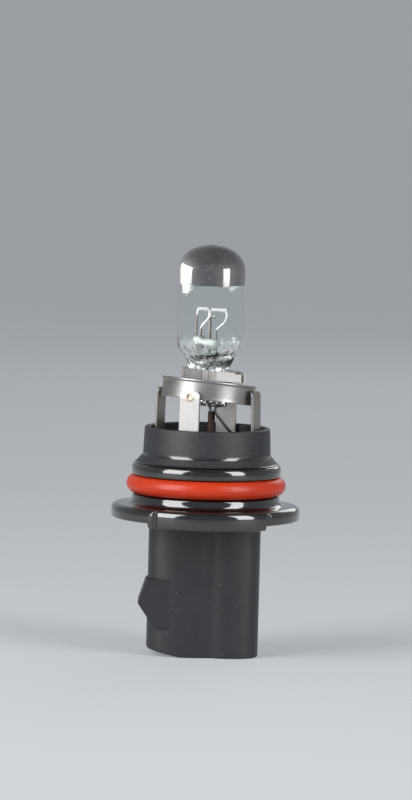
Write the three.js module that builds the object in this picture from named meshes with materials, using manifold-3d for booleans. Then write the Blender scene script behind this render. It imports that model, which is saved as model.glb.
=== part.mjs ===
// Twin-filament headlight bulb: a glass capsule held by a sheet-metal clip and collar on a moulded
// base, which has a keyed flange, a seal in a groove and a three-blade connector underneath.
// Millimetres, +Z up, the front is -Y. The origin is on the bulb's axis at the connector's mouth.
import * as THREE from 'three';
import { mergeVertices } from 'three/addons/utils/BufferGeometryUtils.js';
import Module from 'manifold-3d';

const wasm = await Module();
wasm.setup();

// ---------------------------------------------------------------- driving dimensions
const GAP = 0.3; // clearance between neighbouring pieces
const TURN = 48; // facets of a full turn

// connector shell, standing on its mouth at z = 0, with the latch ramp on the -X side
const SHELL = {
  halfWidth: 12.4, back: 8.0, sideFront: 7.7, frontCorner: 5.0, backCorner: 2.5,
  bow: 8.6, valley: 0.5, lobeLift: 0.5,
};
const SHELL_WALL = 1.8;
const SOCKET_DEPTH = 20;
const LATCH = {
  inside: -7.6, front: -8.1, back: 0.6, reach: 14.5, ledge: 0.4, undercut: 1.4,
  bottom: 6.2, heel: 7.2, tip: 12.0, top: 17.2,
};
const LEAD_IN = { rise: 1.6, run: 7.5, clear: 1 };

// three contact blades, broad faces towards +X and -X
const BLADE = {
  pitch: 6.5, thickness: 0.8, width: 6.3, chamfer: 1.2, tip: 2.5, shoulder: 23.6, tailWidth: 2.2, top: 42.5,
};

// flange, seal groove and cup
const FLANGE = { radius: 20.95, underside: 30.4, seat: 33.5, seatInner: 17.9, edge: 1.3, lowEdge: 0.4 };
const FRONT_SECTOR = { underside: 29.4, from: -37, to: 40 };
const NOTCH = { width: 0.9, depth: 0.7, angles: [-32, 42, 160] };
const GROOVE = { bottom: 35.7, top: 40.0, floor: 13.4 };
const LIP = { lowerRadius: 16.4, upperRadius: 16.6, upperEdge: 41.6, top: 43.2, shoulder: 15.2 };
const SEAL = { centre: 15.7, halfWidth: 2.0, halfHeight: 1.92 };
const CUP = { foot: 14.2, footHeight: 44.9, rim: 14.05, rimHeight: 50.6, bore: 12.6, floor: 40.6 };
const POTTING = { radius: 12.25, top: 46.0, footRoom: 4 };

// focusing collar, tilted to aim the capsule, and the four legs welded to it
const COLLAR = {
  radius: 10.25, lip: 10.5, lipThickness: 0.5, wall: 0.6, height: 4.4, middle: 58.6,
  tiltRight: 5.2, tiltBack: 4.5,
};
const COLLAR_SLOT = { halfWidth: 6.0, halfDepth: 3.4 };
const LEG = {
  width: 4.8, thickness: 0.6, corner: 0.8, bottom: 41.4, top: 59.0, topRadius: 11.2, bottomRadius: 11.6,
};
const LEG_ANGLES = [-21, 69, 159, 249];

// capsule: everything in it is laid out along u, the long way of the flattened pinch
const CAPSULE_TURN = -46;
const GLASS = {
  radius: 7.35, wall: 1.0, domeBase: 85.45, domeHeight: 5.2, shoulder: 68.7, neck: 63.6, neckRadius: 4.1,
};
const BOWL = { bottom: 66.1, ring: 66.5, inset: 1.9 };
const COAT = { gap: 0.05, thickness: 0.15, edge: 82.0, tipRadius: 1.1, tipHeight: 0.2 };
const PINCH = { halfWidth: 4.8, halfDepth: 1.7, bottom: 54.5 };
const PINCH_SLOT = { halfWidth: 0.95, halfDepth: 0.65, top: 67.0 };
const LEAD_U = { low: -3.3, common: 0, high: 2.4 };
const CLIP = {
  bulgeLeft: -5.5, bulgeRight: 4.9, bulgeOut: 2.6, plate: 0.6, left: -8.0, right: 10.9, ease: 0.5, depth: 4,
};
const CLIP_LEVELS = { foot: 57.1, wings: 61.1, top: 63.4 };
const RIB = { first: 0.5, pitch: 1.15, count: 4, halfWidth: 0.35, height: 0.3 };
const BRIDGE = { left: -5.1, right: 2.7, halfDepth: 1.2, bottom: 67.9, top: 70.3 };
const POST_U = { low: -4.4, branch: -2.9, common: 0, high: 1.9 };
const POST_RADIUS = 0.25;
const OUTER_LEAD_RADIUS = 0.25;
const FOIL = { halfWidth: 0.65, halfThickness: 0.1, bottom: 57.5, top: 61.5 };
const COIL = { height: 76.7, radius: 0.42, wire: 0.1, pitch: 0.36 };
const FILAMENT_SPAN = { low: [-3.9, -0.85], high: [0.4, 4.9] };
const SLEEVE = { across: 0.8, bore: 0.52, radius: 0.82, bottom: 47.7, top: 54.1 };
// a lead's route, top down: height, share of the way from pinch to blade, share of its bow
const LEAD_ROUTE = [
  [57.1, 0, 0], [55.2, 0, 0.45], [54.0, 0, 0.8], [50.8, 0.5, 1], [47.9, 1, 0.9], [45.9, 1, 0.1],
];

// ---------------------------------------------------------------- finishes
const finish = (color, roughness, metalness) => new THREE.MeshStandardMaterial({ color, roughness, metalness });
const BLACK_PLASTIC = finish(0x26282a, 0.45, 0);
const POTTING_RESIN = finish(0x1b1b1c, 0.6, 0);
const SEAL_RUBBER = finish(0xd9431e, 0.5, 0);
const STEEL = finish(0xb9bab6, 0.35, 1);
const GLASS_FINISH = finish(0xdfe9e6, 0.05, 0);
const COAT_FINISH = finish(0x2b2624, 0.3, 0);
const MOLYBDENUM = finish(0x8d8f92, 0.4, 1);
const TUNGSTEN = finish(0x9a9c9e, 0.45, 1);
const CONTACT_BRASS = finish(0xc9b47a, 0.35, 1);
const SLEEVE_FINISH = finish(0x4a2f22, 0.6, 0);

// ---------------------------------------------------------------- helpers
const radians = THREE.MathUtils.degToRad;

// Turns a closed geometry into a manifold solid: shared corners merged, collapsed triangles dropped.
function solid(geometry) {
  const plain = new THREE.BufferGeometry();
  plain.setAttribute('position', geometry.getAttribute('position').clone());
  plain.setIndex(geometry.getIndex());
  const merged = mergeVertices(plain, 1e-4);
  const corners = merged.getIndex().array;
  const triangles = [];
  for (let i = 0; i < corners.length; i += 3) {
    const [a, b, c] = [corners[i], corners[i + 1], corners[i + 2]];
    if (a !== b && b !== c && c !== a) triangles.push(a, b, c);
  }
  const mesh = new wasm.Mesh({
    numProp: 3,
    vertProperties: new Float32Array(merged.getAttribute('position').array),
    triVerts: new Uint32Array(triangles),
  });
  return new wasm.Manifold(mesh);
}

// The geometry of a manifold solid.
function geometryOf(body) {
  const mesh = body.getMesh();
  const geometry = new THREE.BufferGeometry();
  geometry.setAttribute('position', new THREE.BufferAttribute(new Float32Array(mesh.vertProperties), 3));
  geometry.setIndex(new THREE.BufferAttribute(new Uint32Array(mesh.triVerts), 1));
  geometry.computeVertexNormals();
  return geometry;
}

const cut = (body, tools) => tools.reduce((rest, tool) => rest.subtract(tool), body);
const join = (bodies) => bodies.reduce((sum, body) => sum.add(body));

// A solid of revolution about Z from [radius, height] corners.
function turned(profile, facets = TURN) {
  const points = profile.map(([radius, height]) => new THREE.Vector2(radius, height));
  return solid(new THREE.LatheGeometry(points, facets).rotateX(Math.PI / 2));
}

// A box from its extents along x, y and z.
function block([x0, x1], [y0, y1], [z0, z1]) {
  const box = new THREE.BoxGeometry(x1 - x0, y1 - y0, z1 - z0);
  return solid(box.translate((x0 + x1) / 2, (y0 + y1) / 2, (z0 + z1) / 2));
}

// A flat outline in plan, raised from one height to another.
function prism(shape, [z0, z1], curveSegments = 6) {
  const raised = new THREE.ExtrudeGeometry(shape, { depth: z1 - z0, bevelEnabled: false, curveSegments });
  return solid(raised.translate(0, 0, z0));
}

const polygon = (corners) => new THREE.Shape(corners.map(([x, y]) => new THREE.Vector2(x, y)));

// A round wire along a curve.
function wire(curve, radius, steps, sides = 8) {
  const section = new THREE.Shape();
  for (let i = 0; i < sides; i++) {
    const angle = (2 * Math.PI * i) / sides;
    const corner = [radius * Math.cos(angle), radius * Math.sin(angle)];
    if (i === 0) section.moveTo(...corner);
    else section.lineTo(...corner);
  }
  return new THREE.ExtrudeGeometry(section, { steps, extrudePath: curve, bevelEnabled: false });
}

function smooth(points) {
  const corners = points.map((p) => new THREE.Vector3(...p));
  return new THREE.CatmullRomCurve3(corners, false, 'centripetal');
}

// Corners of an elliptical arc in a turned profile, from one angle to another in degrees.
function arc([radius, height], [across, up], from, to, count) {
  return Array.from({ length: count + 1 }, (_, i) => {
    const angle = radians(from + ((to - from) * i) / count);
    return [radius + across * Math.cos(angle), height + up * Math.sin(angle)];
  });
}

function piece(name, shape, material) {
  const geometry = shape instanceof THREE.BufferGeometry ? shape : geometryOf(shape);
  const mesh = new THREE.Mesh(geometry, material);
  mesh.name = name;
  return mesh;
}

// ---------------------------------------------------------------- moulded base
// The connector's outline in plan, inset from the outer skin: flat back, bowed front, rounded corners.
function shellOutline(inset) {
  const side = SHELL.halfWidth - inset;
  const back = SHELL.back - inset;
  const front = inset - SHELL.sideFront;
  const bow = inset - SHELL.bow;
  const frontCorner = SHELL.frontCorner - inset;
  const backCorner = SHELL.backCorner - inset;
  const lobe = (side - frontCorner) / 2;
  const outline = new THREE.Shape();
  outline.moveTo(-side, back - backCorner);
  outline.lineTo(-side, front + frontCorner);
  outline.quadraticCurveTo(-side, front, frontCorner - side, front);
  outline.quadraticCurveTo(-lobe, bow - SHELL.lobeLift, 0, bow + SHELL.valley);
  outline.quadraticCurveTo(lobe, bow - SHELL.lobeLift, side - frontCorner, front);
  outline.quadraticCurveTo(side, front, side, front + frontCorner);
  outline.lineTo(side, back - backCorner);
  outline.quadraticCurveTo(side, back, side - backCorner, back);
  outline.lineTo(backCorner - side, back);
  outline.quadraticCurveTo(-side, back, -side, back - backCorner);
  return outline;
}

// Flange, groove, lips and cup as one turned profile.
function baseStack() {
  const fillet = FLANGE.seatInner - LIP.lowerRadius;
  const rim = FLANGE.radius - FLANGE.edge;
  const bead = [LIP.upperRadius - LIP.shoulder, LIP.top - LIP.upperEdge];
  return turned([
    [0, FLANGE.underside],
    [FLANGE.radius - FLANGE.lowEdge, FLANGE.underside],
    [FLANGE.radius, FLANGE.underside + FLANGE.lowEdge],
    ...arc([rim, FLANGE.seat - FLANGE.edge], [FLANGE.edge, FLANGE.edge], 0, 90, 4),
    ...arc([FLANGE.seatInner, FLANGE.seat + fillet], [fillet, fillet], 270, 180, 4).slice(0, -1),
    [LIP.lowerRadius, GROOVE.bottom],
    [GROOVE.floor, GROOVE.bottom],
    [GROOVE.floor, GROOVE.top],
    [LIP.upperRadius, GROOVE.top],
    ...arc([LIP.shoulder, LIP.upperEdge], bead, 0, 90, 5),
    [CUP.foot, CUP.footHeight],
    [CUP.rim, CUP.rimHeight],
    [CUP.bore, CUP.rimHeight],
    [CUP.bore, CUP.floor],
    [0, CUP.floor],
  ]);
}

// The front of the flange is thicker: a sector of a disc under it.
function frontSector() {
  const start = radians(FRONT_SECTOR.from - 90);
  const end = radians(FRONT_SECTOR.to - 90);
  const outline = new THREE.Shape();
  outline.moveTo(0, 0);
  outline.absarc(0, 0, FLANGE.radius - FLANGE.lowEdge, start, end, false);
  outline.lineTo(0, 0);
  return prism(outline, [FRONT_SECTOR.underside, FLANGE.underside + 0.5], 16);
}

// The latch ramp: a wedge profile in x and z, extruded across the shell's -X side.
function latchRamp() {
  const profile = polygon([
    [LATCH.inside, LATCH.top],
    [-SHELL.halfWidth - LATCH.ledge, LATCH.top],
    [-LATCH.reach, LATCH.tip],
    [-SHELL.halfWidth + LATCH.undercut, LATCH.heel],
    [LATCH.inside, LATCH.bottom],
  ]);
  const wedge = new THREE.ExtrudeGeometry(profile, { depth: LATCH.back - LATCH.front, bevelEnabled: false });
  return solid(wedge.rotateX(Math.PI / 2).translate(0, LATCH.back, 0));
}

// The rim is cut up a little at the latch side: a ramp profile in x and z, extruded right across the shell.
function leadInCut() {
  const side = -SHELL.halfWidth;
  const profile = polygon([
    [side - LEAD_IN.clear, -LEAD_IN.clear],
    [side + LEAD_IN.run, -LEAD_IN.clear],
    [side + LEAD_IN.run, 0],
    [side, LEAD_IN.rise],
    [side - LEAD_IN.clear, LEAD_IN.rise],
  ]);
  const depth = SHELL.bow + SHELL.back + 4 * LEAD_IN.clear;
  const ramp = new THREE.ExtrudeGeometry(profile, { depth, bevelEnabled: false });
  return solid(ramp.rotateX(Math.PI / 2).translate(0, SHELL.back + LEAD_IN.clear, 0));
}

function baseHousing() {
  const shell = prism(shellOutline(0), [0, FLANGE.underside + 1]);
  const outside = join([baseStack(), frontSector(), shell, latchRamp()]);
  const socket = prism(shellOutline(SHELL_WALL), [-1, SOCKET_DEPTH]);
  const notches = NOTCH.angles.map((angle) => {
    const tool = new THREE.BoxGeometry(NOTCH.width, 2 * NOTCH.depth, 4 * (FLANGE.seat - FLANGE.underside));
    tool.translate(0, -FLANGE.radius, FLANGE.seat).rotateZ(radians(angle));
    return solid(tool);
  });
  const bladeSlots = [-1, 0, 1].flatMap((side) => {
    const x = [side * BLADE.pitch - BLADE.thickness / 2 - GAP, side * BLADE.pitch + BLADE.thickness / 2 + GAP];
    const wide = BLADE.width / 2 + GAP;
    const narrow = BLADE.tailWidth / 2 + GAP;
    return [
      block(x, [-wide, wide], [SOCKET_DEPTH - 1, BLADE.shoulder + GAP]),
      block(x, [-narrow, narrow], [BLADE.shoulder, CUP.floor + 1]),
    ];
  });
  return cut(outside, [socket, leadInCut(), ...notches, ...bladeSlots]);
}

// A blade with a narrower tail that runs up through the base to its lead.
function contactBlade() {
  const x = [-BLADE.thickness / 2, BLADE.thickness / 2];
  const blade = new THREE.Shape();
  const { chamfer } = BLADE;
  blade.moveTo(-BLADE.width / 2, BLADE.tip + chamfer);
  blade.lineTo(chamfer - BLADE.width / 2, BLADE.tip);
  blade.lineTo(BLADE.width / 2 - chamfer, BLADE.tip);
  blade.lineTo(BLADE.width / 2, BLADE.tip + chamfer);
  blade.lineTo(BLADE.width / 2, BLADE.shoulder);
  blade.lineTo(-BLADE.width / 2, BLADE.shoulder);
  const plate = new THREE.ExtrudeGeometry(blade, { depth: BLADE.thickness, bevelEnabled: false });
  plate.rotateX(Math.PI / 2).rotateZ(Math.PI / 2).translate(-BLADE.thickness / 2, 0, 0);
  const tail = block(x, [-BLADE.tailWidth / 2, BLADE.tailWidth / 2], [BLADE.shoulder - 1, BLADE.top]);
  return join([solid(plate), tail]);
}

function sealRing() {
  const count = 14;
  const section = Array.from({ length: count + 1 }, (_, i) => {
    const angle = (-2 * Math.PI * (i % count)) / count;
    return [SEAL.centre + SEAL.halfWidth * Math.cos(angle), SEAL.halfHeight * Math.sin(angle)];
  });
  return turned(section.reverse());
}

// Resin disc in the cup, notched round the legs' feet and slotted for the leads.
function potting() {
  const bottom = CUP.floor + GAP;
  const disc = turned([[0, bottom], [POTTING.radius, bottom], [POTTING.radius, POTTING.top], [0, POTTING.top]]);
  const inner = LEG.topRadius - LEG.thickness / 2 - GAP / 2;
  const footNotches = LEG_ANGLES.map((angle) => {
    const tool = new THREE.BoxGeometry(LEG.width + 2 * GAP, POTTING.footRoom, 2 * POTTING.top);
    tool.translate(0, -inner - POTTING.footRoom / 2, 0).rotateZ(radians(angle));
    return solid(tool);
  });
  const leadSlots = [-1, 0, 1].map((side) => {
    const halfThickness = BLADE.thickness / 2 + GAP;
    const halfWidth = BLADE.tailWidth / 2 + GAP;
    const x = side * BLADE.pitch;
    return block([x - halfThickness, x + halfThickness], [-halfWidth, halfWidth], [CUP.floor, POTTING.top + 1]);
  });
  return cut(disc, [...footNotches, ...leadSlots]);
}

// ---------------------------------------------------------------- sheet-metal mount
// Inverted shallow cup with a thin projecting lip, slotted for the clip. Its frame sits mid-height.
function focusCollar() {
  const low = -COLLAR.height / 2;
  const high = COLLAR.height / 2;
  const cup = turned([
    [0, high - COLLAR.wall],
    [COLLAR.radius - COLLAR.wall, high - COLLAR.wall],
    [COLLAR.radius - COLLAR.wall, low],
    [COLLAR.radius, low],
    [COLLAR.radius, high - COLLAR.lipThickness],
    [COLLAR.lip, high - COLLAR.lipThickness],
    [COLLAR.lip, high],
    [0, high],
  ]);
  const slot = new THREE.BoxGeometry(2 * COLLAR_SLOT.halfWidth, 2 * COLLAR_SLOT.halfDepth, 2 * COLLAR.height);
  return cut(cup, [solid(slot.rotateZ(radians(CAPSULE_TURN)))]);
}

// A flat strap with a rounded head, standing in the x-z plane.
function collarLeg() {
  const half = LEG.width / 2;
  const height = LEG.top - LEG.bottom;
  const { corner } = LEG;
  const strap = new THREE.Shape();
  strap.moveTo(-half, 0);
  strap.lineTo(half, 0);
  strap.lineTo(half, height - corner);
  strap.quadraticCurveTo(half, height, half - corner, height);
  strap.lineTo(corner - half, height);
  strap.quadraticCurveTo(-half, height, -half, height - corner);
  const flat = { depth: LEG.thickness, bevelEnabled: false, curveSegments: 4 };
  const plate = new THREE.ExtrudeGeometry(strap, flat);
  return solid(plate.rotateX(Math.PI / 2).translate(0, LEG.thickness / 2, 0));
}

// Outline in plan of one clip half: a short wing on the mid-plane, a flat over the pinch with ribs, and a
// long facet that slants back to the mid-plane.
function clipOutline(ribs) {
  const seam = GAP / 2;
  const wing = seam + CLIP.plate;
  const inner = CLIP.bulgeOut - CLIP.plate;
  const ribCorners = ribs.flatMap((u) => [
    [u - RIB.halfWidth, CLIP.bulgeOut],
    [u, CLIP.bulgeOut + RIB.height],
    [u + RIB.halfWidth, CLIP.bulgeOut],
  ]);
  const corners = [
    [CLIP.left, seam], [CLIP.left, wing],
    [CLIP.bulgeLeft - CLIP.ease, wing], [CLIP.bulgeLeft, CLIP.bulgeOut],
    ...ribCorners,
    [CLIP.bulgeRight, CLIP.bulgeOut], [CLIP.right, wing],
    [CLIP.right, seam], [CLIP.bulgeRight, inner],
    [CLIP.bulgeLeft + CLIP.ease, inner], [CLIP.bulgeLeft, seam],
  ];
  return polygon(corners.map(([u, w]) => [u, -w]));
}

// The wings lie above the collar; the skirt over the pinch goes down through its slot.
function clipHalf(ribbed) {
  const ribs = ribbed ? Array.from({ length: RIB.count }, (_, i) => RIB.first + i * RIB.pitch) : [];
  const outline = clipOutline(ribs);
  const band = prism(outline, [CLIP_LEVELS.wings, CLIP_LEVELS.top]);
  const skirt = prism(outline, [CLIP_LEVELS.foot, CLIP_LEVELS.wings + CLIP.plate]);
  const width = [CLIP.bulgeLeft, CLIP.bulgeRight + CLIP.ease];
  const slotRoom = block(width, [-CLIP.depth, CLIP.depth], [0, CLIP_LEVELS.top]);
  return join([band, skirt.intersect(slotRoom)]);
}

// ---------------------------------------------------------------- capsule
// Shoulder between the pinch and the tube: radius and height along an S-shaped sweep.
function shoulderProfile() {
  const count = 6;
  return Array.from({ length: count + 1 }, (_, i) => {
    const t = i / count;
    const sweep = t * t * (3 - 2 * t);
    const radius = THREE.MathUtils.lerp(GLASS.neckRadius, GLASS.radius, sweep);
    return [radius, THREE.MathUtils.lerp(GLASS.neck, GLASS.shoulder, t)];
  });
}

function glassEnvelope() {
  const dome = arc([0, GLASS.domeBase], [GLASS.radius, GLASS.domeHeight], 0, 90, 8).slice(0, -1);
  const top = [0, GLASS.domeBase + GLASS.domeHeight];
  const outside = turned([[0, GLASS.neck], ...shoulderProfile(), ...dome, top]);
  const pinch = block(
    [-PINCH.halfWidth, PINCH.halfWidth],
    [-PINCH.halfDepth, PINCH.halfDepth],
    [PINCH.bottom, GLASS.neck + 2],
  );
  const bore = GLASS.radius - GLASS.wall;
  const innerHeight = GLASS.domeHeight - GLASS.wall;
  const innerDome = arc([0, GLASS.domeBase], [bore, innerHeight], 0, 90, 6).slice(0, -1);
  const hollow = turned([
    [0, BOWL.bottom],
    [bore - BOWL.inset, BOWL.ring],
    [bore, GLASS.shoulder],
    ...innerDome,
    [0, GLASS.domeBase + innerHeight],
  ]);
  const slots = Object.values(LEAD_U).map((u) => block(
    [u - PINCH_SLOT.halfWidth, u + PINCH_SLOT.halfWidth],
    [-PINCH_SLOT.halfDepth, PINCH_SLOT.halfDepth],
    [PINCH.bottom - 1, PINCH_SLOT.top],
  ));
  return cut(join([outside, pinch]), [hollow, ...slots]);
}

// A thin skin over the dome, with the small nub left by the sealing tip.
function blackTopCoating() {
  const inner = [GLASS.radius + COAT.gap, GLASS.domeHeight + COAT.gap];
  const outer = inner.map((size) => size + COAT.thickness);
  const top = GLASS.domeBase + outer[1];
  const outerDome = arc([0, GLASS.domeBase], outer, 0, 90, 10).slice(0, -1);
  const innerDome = arc([0, GLASS.domeBase], inner, 90, 0, 8).slice(1);
  return turned([
    [outer[0], COAT.edge],
    ...outerDome.slice(0, -1),
    [COAT.tipRadius, top],
    [COAT.tipRadius * 0.6, top + COAT.tipHeight],
    [0, top + COAT.tipHeight],
    [0, GLASS.domeBase + inner[1]],
    ...innerDome,
    [inner[0], COAT.edge],
    [outer[0], COAT.edge],
  ]);
}

// The glass bead that ties the posts together, bored for each of them.
function glassBridge(postU) {
  const { left, right, halfDepth, bottom, top } = BRIDGE;
  const bead = block([left, right], [-halfDepth, halfDepth], [bottom, top]);
  const bores = postU.map((u) => {
    const bore = new THREE.CylinderGeometry(POST_RADIUS * 2, POST_RADIUS * 2, 8, 10);
    return solid(bore.rotateX(Math.PI / 2).translate(u, 0, bottom));
  });
  return cut(bead, bores);
}

// A coil along u, at filament height.
class Helix extends THREE.Curve {
  constructor(from, to) {
    super();
    this.from = from;
    this.to = to;
    this.turns = Math.round((to - from) / COIL.pitch);
  }

  getPoint(t, target = new THREE.Vector3()) {
    const angle = 2 * Math.PI * this.turns * t;
    const u = this.from + (this.to - this.from) * t;
    return target.set(u, COIL.radius * Math.sin(angle), COIL.height + COIL.radius * Math.cos(angle));
  }
}

function filament(from, to) {
  const coil = new Helix(from, to);
  return wire(coil, COIL.wire, coil.turns * 10, 5);
}

// Posts as [u, height] corners, in the capsule's own plane.
const POSTS = {
  low_beam_post: [
    [LEAD_U.low, 61.9], [LEAD_U.low, 66.3], [POST_U.low, 68.4], [POST_U.low, 70], [POST_U.low, 75.7],
  ],
  common_branch_post: [[POST_U.branch, 67.3], [POST_U.branch, 72.6], [-0.5, 74.6], [-0.35, 76.0]],
  common_post: [[LEAD_U.common, 61.9], [POST_U.common, 68], [POST_U.common, 74.6], [0.35, 75.2], [1.6, 75.3]],
  high_beam_post: [
    [LEAD_U.high, 61.9], [LEAD_U.high, 66.3], [POST_U.high, 68.4],
    [POST_U.high, 72.2], [4.6, 74.0], [5.2, 75.5],
  ],
};

const capsule = new THREE.Group();
capsule.rotation.z = radians(CAPSULE_TURN);
capsule.add(piece('glass_envelope', glassEnvelope(), GLASS_FINISH));
capsule.add(piece('black_top_coating', blackTopCoating(), COAT_FINISH));
capsule.add(piece('glass_bridge', glassBridge(Object.values(POST_U)), GLASS_FINISH));
capsule.add(piece('low_beam_filament', filament(...FILAMENT_SPAN.low), TUNGSTEN));
capsule.add(piece('high_beam_filament', filament(...FILAMENT_SPAN.high), TUNGSTEN));
for (const [name, corners] of Object.entries(POSTS)) {
  const route = smooth(corners.map(([u, height]) => [u, 0, height]));
  capsule.add(piece(name, wire(route, POST_RADIUS, 16), MOLYBDENUM));
}
for (const [name, u] of Object.entries(LEAD_U)) {
  const width = [u - FOIL.halfWidth, u + FOIL.halfWidth];
  const foil = block(width, [-FOIL.halfThickness, FOIL.halfThickness], [FOIL.bottom, FOIL.top]);
  capsule.add(piece(`${name}_foil`, foil, MOLYBDENUM));
}
const frontClip = piece('pinch_clip_front', clipHalf(true), STEEL);
capsule.add(frontClip);

// The rear half is the plain one, mirrored in the mid-plane, with its triangles turned to face out again.
function rearClipHalf() {
  const flip = new THREE.Matrix4().makeScale(1, -1, 1);
  const geometry = geometryOf(clipHalf(false)).applyMatrix4(flip);
  const corners = geometry.getIndex().array;
  for (let i = 0; i < corners.length; i += 3) {
    [corners[i], corners[i + 1]] = [corners[i + 1], corners[i]];
  }
  geometry.computeVertexNormals();
  return geometry;
}
capsule.add(piece('pinch_clip_rear', rearClipHalf(), STEEL));

// ---------------------------------------------------------------- leads below the pinch
// Where a lead leaves the pinch, in the base's frame.
function pinchExit(u) {
  const turn = radians(CAPSULE_TURN);
  return [u * Math.cos(turn), u * Math.sin(turn)];
}

function outerLead(u, bladeX, bow) {
  const [x, y] = pinchExit(u);
  const route = LEAD_ROUTE.map(([height, share, bowed]) => [
    THREE.MathUtils.lerp(x, bladeX, share) + bow * bowed,
    THREE.MathUtils.lerp(y, 0, share),
    height,
  ]);
  return wire(smooth([...route, [bladeX, 0, BLADE.top + GAP]]), OUTER_LEAD_RADIUS, 30);
}

// A short tube round the middle lead, standing upright. The lead bows sideways to pass through it.
function leadSleeve() {
  const height = SLEEVE.top - SLEEVE.bottom;
  const tube = new THREE.CylinderGeometry(SLEEVE.radius, SLEEVE.radius, height, 14);
  const bore = new THREE.CylinderGeometry(SLEEVE.bore, SLEEVE.bore, height + 1, 14);
  const sleeve = cut(solid(tube), [solid(bore)]);
  return geometryOf(sleeve).rotateX(Math.PI / 2);
}

// ---------------------------------------------------------------- assembly
const bulb = new THREE.Group();
bulb.add(piece('base_housing', baseHousing(), BLACK_PLASTIC));

const seal = piece('seal_ring', sealRing(), SEAL_RUBBER);
seal.position.z = (GROOVE.bottom + GROOVE.top) / 2;
bulb.add(seal);

bulb.add(piece('cup_potting', potting(), POTTING_RESIN));

['low', 'common', 'high'].forEach((name, index) => {
  const bladeX = (index - 1) * BLADE.pitch;
  const blade = piece(`${name}_terminal`, contactBlade(), CONTACT_BRASS);
  blade.position.x = bladeX;
  bulb.add(blade);
  const bow = name === 'common' ? SLEEVE.across : 0;
  bulb.add(piece(`${name}_outer_lead`, outerLead(LEAD_U[name], bladeX, bow), MOLYBDENUM));
});

const sleeve = piece('lead_sleeve', leadSleeve(), SLEEVE_FINISH);
sleeve.position.set(SLEEVE.across, 0, (SLEEVE.top + SLEEVE.bottom) / 2);
bulb.add(sleeve);

const collar = piece('focus_collar', focusCollar(), STEEL);
collar.position.z = COLLAR.middle;
collar.rotation.set(radians(-COLLAR.tiltBack), radians(COLLAR.tiltRight), 0);
bulb.add(collar);

LEG_ANGLES.forEach((angle, index) => {
  const leg = piece(`collar_leg_${index + 1}`, collarLeg(), STEEL);
  leg.position.set(0, -LEG.bottomRadius, LEG.bottom);
  leg.rotation.x = -Math.atan2(LEG.bottomRadius - LEG.topRadius, LEG.top - LEG.bottom);
  const station = new THREE.Group();
  station.rotation.z = radians(angle);
  station.add(leg);
  bulb.add(station);
});

bulb.add(capsule);

export default bulb;
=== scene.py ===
# %% [markdown]
# # A headlight bulb, from the socket up
# A halogen headlight bulb is three crafts in one object: a blown glass capsule with fine wire work
# inside, a mount of pressed steel, and a moulded plastic base with a rubber seal. This lesson rebuilds
# the visible skin of each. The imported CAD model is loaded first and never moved: it says where
# everything is, in metres.

# %% Load the frame
import math

import bmesh
import bpy
import numpy as np
from mathutils import Matrix, Vector


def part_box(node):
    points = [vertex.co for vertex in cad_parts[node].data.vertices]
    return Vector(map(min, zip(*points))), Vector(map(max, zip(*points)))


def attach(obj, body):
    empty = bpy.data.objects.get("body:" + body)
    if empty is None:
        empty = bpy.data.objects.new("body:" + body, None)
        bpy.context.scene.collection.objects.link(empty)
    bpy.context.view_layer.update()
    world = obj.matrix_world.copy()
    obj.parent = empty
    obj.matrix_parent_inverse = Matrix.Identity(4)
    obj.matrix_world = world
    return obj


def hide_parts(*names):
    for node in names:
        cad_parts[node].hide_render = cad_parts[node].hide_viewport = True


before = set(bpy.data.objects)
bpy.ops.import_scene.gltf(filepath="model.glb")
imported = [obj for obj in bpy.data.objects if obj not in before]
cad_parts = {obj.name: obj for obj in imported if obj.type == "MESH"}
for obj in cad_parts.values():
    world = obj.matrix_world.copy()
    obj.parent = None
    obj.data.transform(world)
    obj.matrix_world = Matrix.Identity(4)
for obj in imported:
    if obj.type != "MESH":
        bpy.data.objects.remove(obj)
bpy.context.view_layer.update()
MM = 0.001


def span(node):
    """Lowest and highest corner of a CAD node, in millimetres."""
    low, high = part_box(node)
    return np.array(low) / MM, np.array(high) / MM


base_high = span("base_housing")[1]
coat_low, coat_high = span("black_top_coating")
glass_low = span("glass_envelope")[0]
seal_high = span("seal_ring")[1]
print(f"frame: {len(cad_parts)} nodes, {coat_high[2]:.1f} mm tall")
print(f"flange: {2 * base_high[0]:.1f} mm across")

# %% [markdown]
# ## Skins from grids
# Every piece below is a closed skin over a grid of points. Rows run along the piece and columns run
# round it, and numpy works out the whole grid at once from a formula. Modelling by hand would give the
# same shapes, but a formula keeps radii and clearances exact, which is what moulded, pressed and blown
# parts have in common.


# %% Grid helpers
def shell(grid, looped=False, hollow=False):
    """Closed skin over a grid of points, as points and faces.

    Each face joins (row, column), (row, column + 1), (row + 1, column + 1) and (row + 1, column),
    and the last column joins the first. The end rows get a face each, unless they are poles, or
    join each other when looped. A sixth of the sum of a . (b x c) over all triangles is the volume;
    faces are reversed where it has the wrong sign, so that skins face out and hollows face in.
    """
    rows, columns = grid.shape[:2]
    points = grid.reshape(-1, 3)
    index = np.arange(rows * columns).reshape(rows, columns)
    if looped:
        index = np.vstack([index, index[:1]])
    after = np.roll(index, -1, axis=1)
    quads = np.stack([index[:-1], after[:-1], after[1:], index[1:]], axis=-1).reshape(-1, 4)
    ends = [] if looped else [index[0][::-1], index[-1]]
    ends = [ring for ring in ends if np.ptp(points[ring], axis=0).max() > 1e-5]
    middle = points - points.mean(axis=0)
    triangles = [quads[:, [0, 1, 2]], quads[:, [0, 2, 3]]]
    triangles += [np.stack([np.full(len(r) - 2, r[0]), r[1:-1], r[2:]], axis=-1) for r in ends]
    a, b, c = (middle[np.concatenate(triangles)[:, k]] for k in range(3))
    volume = np.sum(a * np.cross(b, c)) / 6
    faces = quads.tolist() + [ring.tolist() for ring in ends]
    if (volume < 0) != hollow:
        faces = [face[::-1] for face in faces]
    return points, faces


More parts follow.
